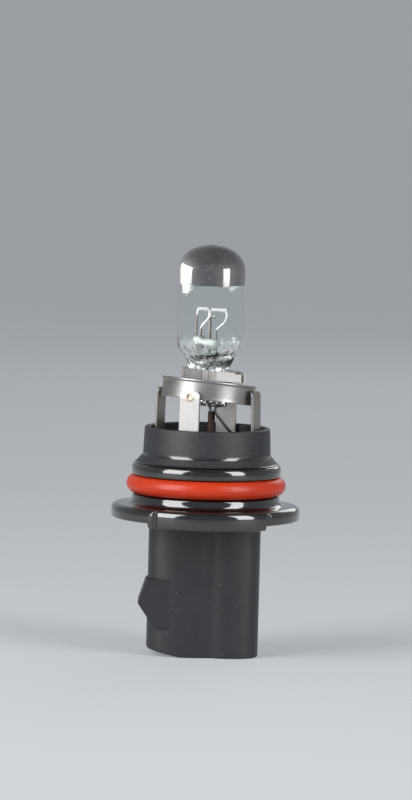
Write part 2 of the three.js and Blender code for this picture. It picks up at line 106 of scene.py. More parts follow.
def make_piece(name, shells, crease=38):
    """One smooth object from closed skins in millimetres; poles merge, edges above the crease are sharp."""
    points = np.concatenate([p for p, _ in shells]) * MM
    starts = np.cumsum([0] + [len(p) for p, _ in shells])
    faces = [[int(start) + i for i in face] for (_, fs), start in zip(shells, starts) for face in fs]
    mesh = bpy.data.meshes.new(name)
    mesh.from_pydata(points.tolist(), [], faces)
    work = bmesh.new()
    work.from_mesh(mesh)
    bmesh.ops.remove_doubles(work, verts=work.verts, dist=5e-7)
    work.to_mesh(mesh)
    work.free()
    mesh.shade_smooth()
    mesh.set_sharp_from_angle(angle=math.radians(crease))
    piece = bpy.data.objects.new(name, mesh)
    bpy.context.scene.collection.objects.link(piece)
    print(f"{name}: {len(mesh.polygons)} faces")
    return piece


def rounded(corners, closed=False, steps=6):
    """Outline through (x, y, rounding) corners.

    A corner c is replaced by (1 - t)^2 p + 2 t (1 - t) c + t^2 q, where p and q lie the rounding's length
    from c on its two sides.
    """
    at = np.array([c[:2] for c in corners], float)
    size = np.array([c[2] for c in corners], float)
    before, after = np.roll(at, 1, axis=0), np.roll(at, -1, axis=0)
    pull = [(p - c) / max(np.linalg.norm(p - c), 1e-9) for p, c in zip(before, at)]
    push = [(q - c) / max(np.linalg.norm(q - c), 1e-9) for q, c in zip(after, at)]
    t = np.linspace(0, 1, steps + 1)[:, None]
    outline = []
    for i, c in enumerate(at):
        plain = size[i] == 0 or (not closed and i in (0, len(at) - 1))
        p, q = c + pull[i] * size[i], c + push[i] * size[i]
        outline.append(c[None] if plain else (1 - t) ** 2 * p + 2 * t * (1 - t) * c + t**2 * q)
    return np.concatenate(outline)


def full_turn(count):
    """Angles of a full turn, the last one left out because the skin joins up."""
    return np.linspace(0, 2 * np.pi, count, endpoint=False)


def turned(profile, angles):
    """Grid of a turned shape: each (radius, height) of the profile goes round as (r cos a, r sin a, h)."""
    radius, height = profile[:, 0, None], profile[:, 1, None]
    return np.stack([radius * np.cos(angles), radius * np.sin(angles), height + 0 * angles], axis=-1)


def swept(path, radius, across, sides=12):
    """Round wire along a path: each point plus radius (cos a n + sin a m), where n is the across direction
    made square to the path, and m is the path's direction x n."""
    along = np.gradient(path, axis=0)
    along /= np.linalg.norm(along, axis=1, keepdims=True)
    n = np.array(across, float) - along * (along @ np.array(across, float))[:, None]
    n /= np.linalg.norm(n, axis=1, keepdims=True)
    m = np.cross(along, n)
    a = full_turn(sides)[:, None]
    radius = np.broadcast_to(radius, len(path))[:, None, None]
    return path[:, None] + radius * (np.cos(a) * n[:, None] + np.sin(a) * m[:, None])


def oval(half_long, half_short, power, angles):
    """Radius of a squared-off oval: (|cos a / long|^n + |sin a / short|^n)^(-1/n)."""
    c, s = np.abs(np.cos(angles)) / half_long, np.abs(np.sin(angles)) / half_short
    return (c**power + s**power) ** (-1 / power)


def smoothstep(value, low, high):
    """0 below low, 1 above high, and 3 t^2 - 2 t^3 between them."""
    t = np.clip((value - low) / (high - low), 0, 1)
    return t * t * (3 - 2 * t)


# %% [markdown]
# ## Shader sums in Python
# A finish is a small calculation done at every point of a surface. Node graphs hide that, so a socket
# is wrapped in a class that understands +, -, * and /, and every other node comes from one method that
# takes its type, its settings and its inputs.


# %% Finish helpers
class Socket:
    """A number that changes over the surface. Sums with it add Math nodes."""

    def __init__(self, finish, link):
        self.finish, self.link = finish, link

    def _sum(self, operation, a, b=0.0):
        return self.finish.node("ShaderNodeMath", {"operation": operation}, {0: a, 1: b})

    def __add__(self, other):
        return self._sum("ADD", self, other)

    def __radd__(self, other):
        return self._sum("ADD", other, self)

    def __sub__(self, other):
        return self._sum("SUBTRACT", self, other)

    def __rsub__(self, other):
        return self._sum("SUBTRACT", other, self)

    def __mul__(self, other):
        return self._sum("MULTIPLY", self, other)

    def __rmul__(self, other):
        return self._sum("MULTIPLY", other, self)

    def __truediv__(self, other):
        return self._sum("DIVIDE", self, other)

    def __pow__(self, other):
        return self._sum("POWER", self, other)

    def __abs__(self):
        return self._sum("ABSOLUTE", self)

    def lesser(self, other):
        return self._sum("MINIMUM", self, other)

    def greater(self, other):
        return self._sum("MAXIMUM", self, other)


class Finish:
    """A procedural material: constants go straight onto the shader, nodes work out what changes."""

    def __init__(self, name, **constants):
        self.material = bpy.data.materials.new(name)
        self.material.use_nodes = True
        self.nodes = self.material.node_tree.nodes
        self.links = self.material.node_tree.links
        self.shader = self.nodes["Principled BSDF"]
        for socket, value in constants.items():
            self.shader.inputs[socket.replace("_", " ")].default_value = value
        self.place = self.node("ShaderNodeTexCoord", output="Object")

    def node(self, kind, settings=None, inputs=None, output=0):
        made = self.nodes.new(kind)
        for key, value in (settings or {}).items():
            setattr(made, key, value)
        for key, value in (inputs or {}).items():
            socket = made.inputs[key]
            if isinstance(value, Socket):
                self.links.new(value.link, socket)
            else:
                socket.default_value = value
        return Socket(self, made.outputs[output])

    def stretched(self, x, y, z):
        """The object's own coordinates, multiplied along each axis."""
        return self.node("ShaderNodeMapping", None, {"Vector": self.place, "Scale": (x, y, z)})

    def noise(self, scale, detail=3.0, roughness=0.55, at=None):
        inputs = {"Vector": at or self.place, "Scale": scale, "Detail": detail, "Roughness": roughness}
        return self.node("ShaderNodeTexNoise", None, inputs)

    def specks(self, scale, size):
        """1 in small round specks, 0 between them: distance to scattered points, cut off at a size."""
        near = self.node("ShaderNodeTexVoronoi", None, {"Vector": self.place, "Scale": scale})
        return self.band(near, size, 0.6 * size)

    def band(self, value, low, high):
        """0 to 1 as a value goes from low to high, held at both ends. High may lie below low."""
        inputs = {"Value": value, "From Min": low, "From Max": high}
        return self.node("ShaderNodeMapRange", {"interpolation_type": "SMOOTHSTEP"}, inputs)

    def axis(self, letter):
        return self.node("ShaderNodeSeparateXYZ", None, {0: self.place}, letter)

    def blend(self, amount, a, b):
        """Colour a where the amount is 0, colour b where it is 1."""
        first, second = (c if isinstance(c, Socket) else (*c, 1) for c in (a, b))
        inputs = {0: amount, 6: first, 7: second}
        return self.node("ShaderNodeMix", {"data_type": "RGBA"}, inputs, output=2)

    def feed(self, **values):
        for socket, value in values.items():
            self.links.new(value.link, self.shader.inputs[socket.replace("_", " ")])

    def relief(self, height, depth):
        """Bumps as deep as the given depth in millimetres."""
        inputs = {"Height": height, "Strength": 1.0, "Distance": depth * MM}
        self.feed(Normal=self.node("ShaderNodeBump", None, inputs))


def srgb(red, green, blue):
    """A colour given 0 to 255 a channel, as the linear light that shaders use."""
    values = [c / 255 for c in (red, green, blue)]
    return tuple(v / 12.92 if v < 0.04045 else ((v + 0.055) / 1.055) ** 2.4 for v in values)


def finished(piece, finish, slot, *nodes):
    """Gives a piece its finish and its body, and hides the CAD nodes that it stands for."""
    piece.data.materials.append(finish.material)
    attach(piece, "root")
    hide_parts(*nodes)
    return piece


# %% [markdown]
# ## Camera, sweep and light
# The bulb is seen from the front, from slightly above, with a long lens and a slight lean. It stands on
# a round paper sweep, which has no corner or horizon from any side. Two tall softboxes, left and right
# of the camera, draw the pairs of bright bars that glass, steel and glossy plastic show. Two low cards
# serve the capsule's top, and a weak light behind lifts the back.

# %% Camera
ELEVATION = math.radians(4.5)
LEAN = math.radians(1.5)
DISTANCE = 1.1
VIEW_HEIGHT = 0.1772
AIM = Vector((-0.0005, 0.0, 0.05655))

toward_camera = Vector((0, -math.cos(ELEVATION), math.sin(ELEVATION)))
level_up = Vector((0, math.sin(ELEVATION), math.cos(ELEVATION)))
level_right = Vector((1, 0, 0))
camera_right = math.cos(LEAN) * level_right + math.sin(LEAN) * level_up
camera_up = math.cos(LEAN) * level_up - math.sin(LEAN) * level_right

camera_data = bpy.data.cameras.new("camera")
camera_data.sensor_fit = "VERTICAL"
camera_data.sensor_height = 36
camera_data.lens = 36 * DISTANCE / VIEW_HEIGHT
camera = bpy.data.objects.new("camera", camera_data)
turn = Matrix((camera_right, camera_up, toward_camera)).transposed().to_4x4()
camera.matrix_world = Matrix.Translation(AIM + DISTANCE * toward_camera) @ turn
bpy.context.scene.collection.objects.link(camera)
bpy.context.scene.camera = camera
bpy.context.scene.view_settings.view_transform = "Standard"
print(f"camera: {camera_data.lens:.0f} mm lens, {DISTANCE} m away")

# %% Sweep and lights
SWEEP = [(0, 0, 0), (2400, 0, 900), (2400, 1800, 0)]

sweep = make_piece("paper_sweep", [shell(np.concatenate([
    turned(rounded(SWEEP, steps=16), full_turn(96)),
    turned(np.array([(2420, 1800), (2420, -20), (0, -20)]), full_turn(96)),
]))])
paper = Finish("pale_paper", Roughness=0.9, Emission_Color=(0.92, 0.96, 1.0, 1), Emission_Strength=0.24)
paper.feed(Base_Color=paper.blend(paper.noise(6, 2), srgb(148, 150, 152), srgb(154, 156, 158)))
sweep.data.materials.append(paper.material)


SOFTBOX_RADIANCE = 7.0
CARD_RADIANCE = 2.2 * SOFTBOX_RADIANCE


def softbox(name, azimuth, height, width, tall, radiance, distance=0.6):
    """A soft light facing the bulb. Its power is radiance x area x pi."""
    data = bpy.data.lights.new(name, "AREA")
    data.shape, data.size, data.size_y = "RECTANGLE", width, tall
    data.energy = radiance * width * tall * math.pi
    light = bpy.data.objects.new(name, data)
    angle = math.radians(azimuth)
    place = Vector((distance * math.sin(angle), -distance * math.cos(angle), height))
    facing = (place - Vector((0, 0, 0.05))).to_track_quat("Z", "Y").to_matrix().to_4x4()
    light.matrix_world = Matrix.Translation(place) @ facing
    bpy.context.scene.collection.objects.link(light)
    return light


left_box = softbox("left_softbox", -53, 0.328, 0.41, 0.62, SOFTBOX_RADIANCE)
right_box = softbox("right_softbox", 50, 0.328, 0.26, 0.62, SOFTBOX_RADIANCE)
left_card = softbox("left_dome_card", -99, 0.147, 0.68, 0.206, CARD_RADIANCE)
right_card = softbox("right_dome_card", 53, 0.14, 0.26, 0.186, CARD_RADIANCE)
fill_box = softbox("back_fill", 160, 0.45, 0.5, 0.4, 1.4, 0.9)
world = bpy.data.worlds.new("room")
world.use_nodes = True
world.node_tree.nodes["Background"].inputs["Color"].default_value = (0.9, 0.95, 1.0, 1)
world.node_tree.nodes["Background"].inputs["Strength"].default_value = 0.2
bpy.context.scene.world = world

# %% [markdown]
# ## The moulded base
# One black moulding carries everything: a cup for the mount, two lips with a seal groove between them,
# a flange that locates the bulb, and the connector below. The round parts are one turned profile. Three
# notches in the flange make the bulb fit one way only: within a notch, the radius is simply held below
# the notch's floor.

# %% Base stack
FLANGE_RADIUS = base_high[0]
FLANGE_UNDER, FLANGE_SEAT = 30.4, 33.5
SECTOR_DROP = 1.0
SECTOR_EDGES = np.radians([-37, 40]) - np.pi / 2
LIP_RADIUS, CUP_RADIUS, CUP_BORE = 16.5, 13.95, 12.6
CUP_RIM = base_high[2]
GROOVE_LOW, GROOVE_HIGH, GROOVE_FLOOR = 35.7, 40.0, 13.5
NOTCH_ANGLES = np.radians([-32, 42, 160]) - np.pi / 2
NOTCH_HALF, NOTCH_DEPTH = 0.45, 0.5

stack_profile = rounded([
    (0, FLANGE_UNDER, 0),
    (8.0, FLANGE_UNDER, 0),
    (8.3, FLANGE_UNDER, 0),
    (FLANGE_RADIUS, FLANGE_UNDER, 0.5),
    (FLANGE_RADIUS, FLANGE_SEAT, 1.5),
    (LIP_RADIUS - 0.1, FLANGE_SEAT, 1.5),
    (LIP_RADIUS - 0.1, GROOVE_LOW, 0.7),
    (GROOVE_FLOOR, GROOVE_LOW, 0.2),
    (GROOVE_FLOOR, GROOVE_HIGH, 0.2),
    (LIP_RADIUS + 0.1, GROOVE_HIGH, 0.35),
    (LIP_RADIUS + 0.1, 42.65, 1.4),
    (15.6, 42.75, 0.4),
    (CUP_RADIUS + 0.2, 44.6, 0.7),
    (CUP_RADIUS - 0.05, CUP_RIM, 0.45),
    (CUP_BORE, CUP_RIM, 0.45),
    (CUP_BORE, 40.6, 0.5),
    (0, 40.6, 0),
], steps=8)


def turn_away(angles, centres):
    """How far each angle is from the nearest of the centres, round the turn."""
    return np.abs((angles[..., None] - centres + np.pi) % (2 * np.pi) - np.pi).min(axis=-1)


def underside(x, y):
    """Height of the flange's underside: lower in the front sector, with a step 0.02 radians long."""
    middle, half = SECTOR_EDGES.mean(), np.ptp(SECTOR_EDGES) / 2
    away = turn_away(np.arctan2(y, x), np.array([middle]))
    return FLANGE_UNDER - SECTOR_DROP * (1 - smoothstep(away, half - 0.01, half + 0.01))


notch_edge = NOTCH_HALF / FLANGE_RADIUS
edges = np.concatenate([NOTCH_ANGLES - notch_edge, NOTCH_ANGLES + notch_edge, SECTOR_EDGES])
near_edges = (edges[:, None] + np.linspace(-0.022, 0.022, 11)).ravel()
stack_angles = np.unique(np.concatenate([full_turn(360), near_edges % (2 * np.pi)]))
inside_notch = 1 - smoothstep(turn_away(stack_angles, NOTCH_ANGLES), 0, 2 * notch_edge)
stack = turned(stack_profile, stack_angles)
radius = np.linalg.norm(stack[..., :2], axis=-1)
low_rows = smoothstep(radius, 8.0, 8.3) * (stack[..., 2] < FLANGE_UNDER + 0.6)
stack[..., 2] += low_rows * (underside(stack[..., 0], stack[..., 1]) - FLANGE_UNDER)
limit = FLANGE_RADIUS - NOTCH_DEPTH * inside_notch[None, :]
stack[..., :2] *= (np.minimum(radius, limit) / np.maximum(radius, 1e-6))[..., None]

# %% [markdown]
# ## Connector shell and latch ramp
# Below the flange the base becomes a hooded connector. Its outline is a squared-off oval, bowed at the
# front and nearly flat at the back, and a wall profile is carried round it: down the outside, over the
# rim, and up the inside to the socket's floor. The rim is cut up a little at the latch side. The latch
# ramp is a wedge with eased edges.

# %% Connector
SHELL_HALF, SHELL_FRONT, SHELL_BACK, WALL = 12.4, 8.8, 8.0, 1.8
FLUTE_AT, FLUTE_HALF, FLUTE_DEPTH = 1.6, 1.9, 0.55
SOCKET_DEPTH = 20
CUT_RISE, CUT_RUN = 1.6, 7.5

wall_profile = rounded([
    (-1.3, 30.7, 0), (-1.2, 30.4, 0), (0, 30.4, 1.1), (0, 24, 0), (0, 0, 0.45), (WALL, 0, 0.4),
    (WALL, SOCKET_DEPTH, 0.4), (7, SOCKET_DEPTH, 0),
], steps=6)


def shell_grid(profile, angles):
    """The wall profile's (inset, height) carried round the outline.

    The outline is x = long sign(cos a) |cos a|^(2/n), y = short sign(sin a) |sin a|^(2/n), with
    long and short smaller by the inset. The front half is bowed, with n = 3.8, and the back half is
    flatter, with n = 9. A shallow flute, depth exp(-((x - centre) / half-width)^2), runs down the
    front.
    """
    inset, height = profile[:, 0, None], profile[:, 1, None]
    front = np.sin(angles) < 0
    power = np.where(front, 3.8, 9.0)
    half_short = np.where(front, SHELL_FRONT, SHELL_BACK) - inset
    x = (SHELL_HALF - inset) * np.sign(np.cos(angles)) * np.abs(np.cos(angles)) ** (2 / power)
    y = half_short * np.sign(np.sin(angles)) * np.abs(np.sin(angles)) ** (2 / power)
    y = y + FLUTE_DEPTH * np.exp(-(((x - FLUTE_AT) / FLUTE_HALF) ** 2)) * front * (half_short > 2.5)
    height = height + (underside(x, y) - FLANGE_UNDER) * (height > 25)
    lift = CUT_RISE * np.clip((CUT_RUN - SHELL_HALF - x) / CUT_RUN, 0, 1) * np.clip(1 - height / 5, 0, 1)
    return np.stack([x, y, height + lift], axis=-1)


half_turn = np.linspace(0, 1, 81)[:-1]
eased = half_turn - np.sin(4 * np.pi * half_turn) / (4 * np.pi) * 0.55
shell_angles = np.concatenate([np.pi * eased, np.pi + np.pi * eased])
connector = shell_grid(wall_profile, shell_angles)

LATCH_FRONT, LATCH_BACK = -8.55, 0.6
latch_profile = rounded([
    (-7.2, 17.2, 0.3), (-12.8, 17.2, 0.5), (-14.5, 12.0, 0.4),
    (-11.3, 7.3, 0.5), (-10.2, 6.2, 0.6), (-7.2, 6.2, 1.2),
], closed=True, steps=5)
ease = np.array([0.7, 0.3, 0.12, 0.03, 0, 0, 0.03, 0.12, 0.3, 0.7])
depth = np.array([0, 0, 0.06, 0.16, 0.35, -0.35, -0.16, -0.06, 0, 0])
latch_y = np.where(np.arange(10) < 5, LATCH_FRONT, LATCH_BACK) + depth
latch_centre = latch_profile.mean(axis=0)
latch_reach = np.linalg.norm(latch_profile - latch_centre, axis=1)
latch_scale = 1 - ease[:, None] / latch_reach.min() * 0.6
latch_xz = latch_centre + (latch_profile - latch_centre) * latch_scale[..., None]
latch_deep = np.broadcast_to(latch_y[:, None], latch_xz.shape[:2])
latch = np.stack([latch_xz[..., 0], latch_deep, latch_xz[..., 1]], axis=-1)

base = make_piece("moulded_base", [shell(stack), shell(connector), shell(latch)])

# %% [markdown]
# ## The black moulding's finish
# The tool was polished where the seal and flange work, and spark-eroded elsewhere, so one plastic shows
# two finishes: glossy lips and flange, and a satin, finely grained cup and connector. A narrow band at
# the cup's foot is glossy too. Height alone decides between them. Pale dust specks lie on all of it.

# %% Black plastic
plastic = Finish("black_moulding", IOR=1.5, Coat_IOR=1.65, Coat_Roughness=0.04)
height = plastic.axis("Z") / MM
glossy = plastic.band(height, 28.9, 29.3) * plastic.band(height, 43.0, 42.6)
foot_gloss = plastic.band(height, 44.1, 44.4) * plastic.band(height, 45.1, 44.7)
glossy = glossy.greater(0.8 * foot_gloss)
grain = plastic.noise(5200, 2, 0.6)
cloud = plastic.noise(160, 4)
dust = plastic.specks(900, 0.13) * plastic.band(plastic.noise(260, 2), 0.42, 0.7)
fine_specks = plastic.specks(2600, 0.2) * plastic.band(height, 42.6, 43.0)
satin_colour = plastic.blend(cloud, srgb(25, 27, 30), srgb(35, 38, 41))
body_colour = plastic.blend(glossy, satin_colour, srgb(8, 9, 10))
speckled = plastic.blend(0.5 * fine_specks, body_colour, srgb(118, 120, 122))
plastic.feed(
    Base_Color=plastic.blend(dust * 0.5, speckled, srgb(126, 130, 134)),
    Roughness=0.47 - 0.33 * glossy + 0.1 * (cloud - 0.5) + 0.3 * dust,
    Coat_Weight=0.95 * glossy * (1 - dust),
)
plastic.relief(grain * (1 - 0.96 * glossy) + 0.5 * dust, 0.045)
finished(base, plastic, "black_plastic", "base_housing")

# %% [markdown]
# ## Seal ring
# The seal is a silicone O-ring, pressed slightly flat in its groove. A turned closed oval makes it.
# Moulded rubber has a hair-thin parting line where the two halves of its tool met, so the section gets
# a tiny ridge at its widest point.

# %% Seal
SEAL_CENTRE = (seal_high[0] + GROOVE_FLOOR + 0.2) / 2
SEAL_HALF = seal_high[0] - SEAL_CENTRE
section = full_turn(72)
parting = 0.035 * np.exp(-((np.sin(section) / 0.035) ** 2)) * (np.cos(section) > 0)
seal_profile = np.stack([
    SEAL_CENTRE + (SEAL_HALF - 0.035 + parting) * np.cos(section),
    (GROOVE_LOW + GROOVE_HIGH) / 2 + 2.02 * np.sin(section),
], axis=-1)
seal = make_piece("silicone_seal", [shell(turned(seal_profile, full_turn(240)), looped=True)], crease=80)

silicone = Finish("red_silicone", IOR=1.42, Specular_IOR_Level=0.45)
mottle = silicone.noise(420, 4)
lint = silicone.specks(700, 0.12) * silicone.band(silicone.noise(200, 2), 0.45, 0.7)
red = silicone.blend(mottle, srgb(172, 42, 14), srgb(186, 54, 22))
silicone.feed(
    Base_Color=silicone.blend(0.45 * lint, red, srgb(240, 190, 170)),
    Roughness=0.27 + 0.14 * mottle + 0.2 * lint,
)
silicone.relief(silicone.noise(2600, 3) + lint, 0.02)
finished(seal, silicone, "seal_silicone", "seal_ring")

# %% [markdown]
# ## Resin in the cup
# Resin is poured into the cup to lock the legs and leads. Its surface creeps up the wall a little, so
# the disc's height rises towards its rim, and slow waves stop it from looking machined.

# %% Resin
RESIN_TOP = span("cup_potting")[1][2]
RESIN_RIM, RESIN_UNDER = CUP_BORE - 0.05, 40.8
resin_radius = np.linspace(0, RESIN_RIM, 40)
resin_angles = full_turn(120)
resin_creep = RESIN_TOP - 0.55 + 0.5 * smoothstep(resin_radius, 9.5, 12.5)
resin_top = turned(np.stack([resin_radius, resin_creep], axis=-1), resin_angles)
resin_top[..., 2] += 0.06 * np.sin(3 * resin_angles + 0.7) * (resin_radius[:, None] / CUP_BORE)
resin_under = turned(np.array([(RESIN_RIM, RESIN_UNDER), (0, RESIN_UNDER)]), resin_angles)
resin = make_piece("cup_resin", [shell(np.concatenate([resin_top, resin_under]))])
poured = Finish("poured_resin", IOR=1.55)
poured.feed(
    Base_Color=poured.blend(poured.noise(300, 4), srgb(20, 20, 21), srgb(38, 37, 36)),
    Roughness=0.3 + 0.25 * poured.noise(500, 3),
)
poured.relief(poured.noise(700, 3), 0.05)
finished(resin, poured, "potting_resin", "cup_potting")

# %% [markdown]
# ## Contact blades
# Three flat blades stand in the socket with their broad faces side by side. Each is a rounded-edge
# strip whose half-width and half-thickness are functions of height: a bevelled tip for the plug to
# find, then a narrower tail above.

# %% Blades
BLADE_HALF, BLADE_THICK, TAIL_HALF = 3.15, 0.4, 1.1
BLADE_STEP = 23.2


def strip(height, half_thick, half_wide, at_x, angles):
    """Flat strip standing up: at each height a squared-off oval, half_thick by half_wide."""
    r = oval(half_thick[:, None], half_wide[:, None], 10, angles)
    z = np.broadcast_to(height[:, None], r.shape)
    return np.stack([at_x + r * np.cos(angles), r * np.sin(angles), z], axis=-1)


flat_angles = np.concatenate([np.arctan2(*p) for p in [
    (np.linspace(-BLADE_HALF, BLADE_HALF, 24, endpoint=False), np.full(24, BLADE_THICK)),
    (np.full(4, BLADE_HALF), np.linspace(BLADE_THICK, -BLADE_THICK, 4, endpoint=False)),
    (np.linspace(BLADE_HALF, -BLADE_HALF, 24, endpoint=False), np.full(24, -BLADE_THICK)),
    (np.full(4, -BLADE_HALF), np.linspace(-BLADE_THICK, BLADE_THICK, 4, endpoint=False)),
]])
tin = Finish("tinned_brass", Metallic=1.0)
rub = tin.noise(900, 4, at=tin.stretched(1, 1, 0.12))
tin.feed(Base_Color=tin.blend(rub, srgb(176, 168, 146), srgb(214, 206, 186)), Roughness=0.24 + 0.22 * rub)
tin.relief(rub, 0.01)
for node in ("low_terminal", "common_terminal", "high_terminal"):
    low, high = span(node)
    tip = low[2] + np.array([0, 0.1, 0.5, 1.6])
    step = BLADE_STEP + np.array([0, 0.3, 0.4, 0.5])
    rows = np.concatenate([tip, step, [high[2] - 0.1, high[2]]])
    thick = np.array([0.12, 0.18, 0.26, *[BLADE_THICK] * 6, 0.3])
    wide = np.array([2.2, 2.35, 2.7, BLADE_HALF, BLADE_HALF, 3.0, 2.6, TAIL_HALF, TAIL_HALF, 0.9])
    skin = shell(strip(rows, thick, wide, (low[0] + high[0]) / 2, flat_angles))
    blade = make_piece(node.replace("terminal", "blade"), [skin])
    finished(blade, tin, "contact_brass", node)

# %% [markdown]
# ## Focusing collar
# The collar is a shallow pressed cup, upside down, with a thin rolled lip at the top and a slot that
# the clip passes through. The maker tilts it slightly when aiming the filaments, then spot-welds it.
# Its section starts at the slot's edge, whose radius changes round the turn, and comes back to it, so
# the skin is a closed loop.

# %% Collar
CAPSULE_TURN = math.radians(-46)
COLLAR_MIDDLE, COLLAR_RADIUS, LIP_OUT, SHEET = 58.6, 10.25, 10.5, 0.55
TILT = np.array(Matrix.Rotation(math.radians(-4.5), 3, "X") @ Matrix.Rotation(math.radians(5.2), 3, "Y"))

collar_angles = full_turn(288)
slot_edge = oval(5.9, 3.2, 9, collar_angles - CAPSULE_TURN)
collar_section = rounded([
    (7.2, 2.2, 0), (LIP_OUT, 2.2, 0.22), (LIP_OUT, 1.7, 0.2),
    (COLLAR_RADIUS, 1.6, 0.12), (COLLAR_RADIUS, -1.5, 0.2), (COLLAR_RADIUS + 0.08, -2.2, 0.2),
    (COLLAR_RADIUS - SHEET, -2.2, 0.22), (COLLAR_RADIUS - SHEET, 1.6, 0.3), (7.2, 1.6, 0),
], steps=5)
collar = turned(collar_section, collar_angles)
edge_points = np.stack([slot_edge * np.cos(collar_angles), slot_edge * np.sin(collar_angles)], axis=-1)
top_edge = np.concatenate([edge_points, np.full((288, 1), 2.15)], axis=1)
under_edge = np.concatenate([edge_points, np.full((288, 1), 1.65)], axis=1)
collar = np.concatenate([top_edge[None], collar, under_edge[None]])
collar = collar @ TILT.T + np.array([0, 0, COLLAR_MIDDLE])
collar_piece = make_piece("pressed_collar", [shell(collar, looped=True)])

# %% [markdown]
# ## Four legs
# Each leg is a strap of the same sheet, cast into the base and spot-welded to the collar. The welding
# tip leaves a round dent with a raised rim and a brown heat tint. The dent is in the shape; the tint is
# in the finish.

# %% Legs
LEG_ANGLES = np.radians([-21, 69, 159, 249])
LEG_HALF, LEG_SHEET, LEG_FOOT, LEG_TOP = 2.4, 0.3, 41.4, span("collar_leg_1")[1][2]
FOOT_RADIUS, HEAD_RADIUS = 11.6, 11.2
WELD_HEIGHT = LEG_TOP - 0.95


def leg_grid(angle):
    """Strap standing at an angle round the axis, with its outer face dented by the weld.

    Across: a flat loop x = half-width c, y = -+ half-thickness. Up: the half-width shrinks as a quarter
    circle over the last 0.9 mm. Dent: 0.14 exp(-(d / 0.4)^2) deep, with a rim
    0.05 exp(-((d - 0.8) / 0.25)^2) high. The head curls in by 0.3 t^2 over its last 1.5 mm.
    """
    up = np.concatenate([np.linspace(LEG_FOOT, LEG_TOP - 3, 10), np.linspace(LEG_TOP - 2.9, LEG_TOP, 40)])
    along = np.linspace(-1, 1, 33)
    loop_x = np.concatenate([along, along[::-1]])
    loop_y = np.concatenate([-np.ones(33), np.ones(33)])
    edge = np.sqrt(np.clip(1 - np.clip(np.abs(loop_x) - 0.94, 0, 1) ** 2 / 0.0036, 0.12, 1))
    drop = np.clip(up - (LEG_TOP - 0.9), 0, 0.9) / 0.9
    half = LEG_HALF - 0.9 * (1 - np.sqrt(np.clip(1 - drop**2, 0, 1)))
    x = half[:, None] * loop_x
    y = LEG_SHEET * (loop_y * edge) + 0 * x
    away = np.hypot(x, up[:, None] - WELD_HEIGHT)
    dent = 0.14 * np.exp(-((away / 0.4) ** 2)) - 0.05 * np.exp(-(((away - 0.8) / 0.25) ** 2))
    y += np.where(loop_y < 0, dent, 0.3 * dent)
    reach = FOOT_RADIUS + (HEAD_RADIUS - FOOT_RADIUS) * (up[:, None] - LEG_FOOT) / (LEG_TOP - LEG_FOOT)
    curl = 0.3 * np.clip((up[:, None] - LEG_TOP + 1.5) / 1.5, 0, 1) ** 2
    y -= reach - curl
    c, s = np.cos(angle), np.sin(angle)
    return np.stack([x * c - y * s, x * s + y * c, np.broadcast_to(up[:, None], x.shape)], axis=-1)


legs = [
    make_piece(f"welded_leg_{i + 1}", [shell(leg_grid(angle))], crease=50)
    for i, angle in enumerate(LEG_ANGLES)
]

# %% [markdown]
# ## Pressed steel's finish
# Rolled and tumbled sheet isn't a mirror: it has fine rolling lines and faint handling marks, which
# mostly change how sharp its reflections are. The lines run round the collar and up the legs. Near a
# weld the steel has turned straw and brown, in rings. The four welds share one formula: the plane is
# turned so that the legs lie on its axes, and the distance to the nearer axis is the distance across a
# leg.


# %% Steel
def steel_finish(name, x, y, z, rough=0.24, welds=False):
    """Rolled steel whose lines are noise stretched by a different factor along each axis."""
    steel = Finish(name, Metallic=1.0)
    lines = steel.noise(220, 5, 0.7, at=steel.stretched(x, y, z))
    marks = steel.noise(240, 4)
    pits = steel.specks(1300, 0.16)
    colour = steel.blend(0.55 * lines + 0.45 * marks, srgb(122, 122, 121), srgb(182, 181, 179))
    if welds:
        ax, ay = steel.axis("X") / MM, steel.axis("Y") / MM
        c, s = math.cos(LEG_ANGLES[0]), math.sin(LEG_ANGLES[0])
        across = abs(c * ax + s * ay).lesser(abs(c * ay - s * ax))
        rise = steel.axis("Z") / MM - WELD_HEIGHT
        away = (across * across + rise * rise) ** 0.5 + 0.5 * (marks - 0.5)
        colour = steel.blend(steel.band(away, 1.7, 0.9) * 0.35, colour, srgb(196, 176, 140))
        ring = steel.band(away, 0.95, 0.7) * steel.band(away, 0.35, 0.5)
        colour = steel.blend(0.55 * ring, colour, srgb(128, 96, 66))
    steel.feed(
        Base_Color=steel.blend(0.3 * pits, colour, srgb(90, 88, 84)),
        Roughness=rough + 0.16 * lines + 0.14 * marks + 0.1 * pits,
    )
    steel.relief(lines + 0.4 * marks, 0.02)
    return steel


collar_steel = steel_finish("rolled_steel_round", 0.6, 0.6, 14)
leg_steel = steel_finish("rolled_steel_upright", 7, 7, 0.5, welds=True)
clip_steel = steel_finish("tumbled_steel", 3, 3, 3, rough=0.38)
finished(collar_piece, collar_steel, "collar_steel", "focus_collar")
for i, leg in enumerate(legs):
    finished(leg, leg_steel, "collar_steel", f"collar_leg_{i + 1}")

# %% [markdown]
# ## Pinch clip
# Two pressed half-plates hug the flattened foot of the glass and are welded to each other at their
# wings. In plan each is a strip bent round the pinch, so its section is carried along that path. Grip
# ribs are pressed into the front one.

# %% Clip
RIB_FIRST, RIB_PITCH, RIB_COUNT = 0.5, 1.15, 4
SKIRT_LOW, WING_LOW, CLIP_TOP = 57.2, 61.1, 63.4
BULGE_LEFT, BULGE_RIGHT = -5.4, 4.9


def in_capsule(grid):
    """Turns a grid laid out in the capsule's own directions into place."""
    c, s = math.cos(CAPSULE_TURN), math.sin(CAPSULE_TURN)
    return grid @ np.array([[c, s, 0], [-s, c, 0], [0, 0, 1]])


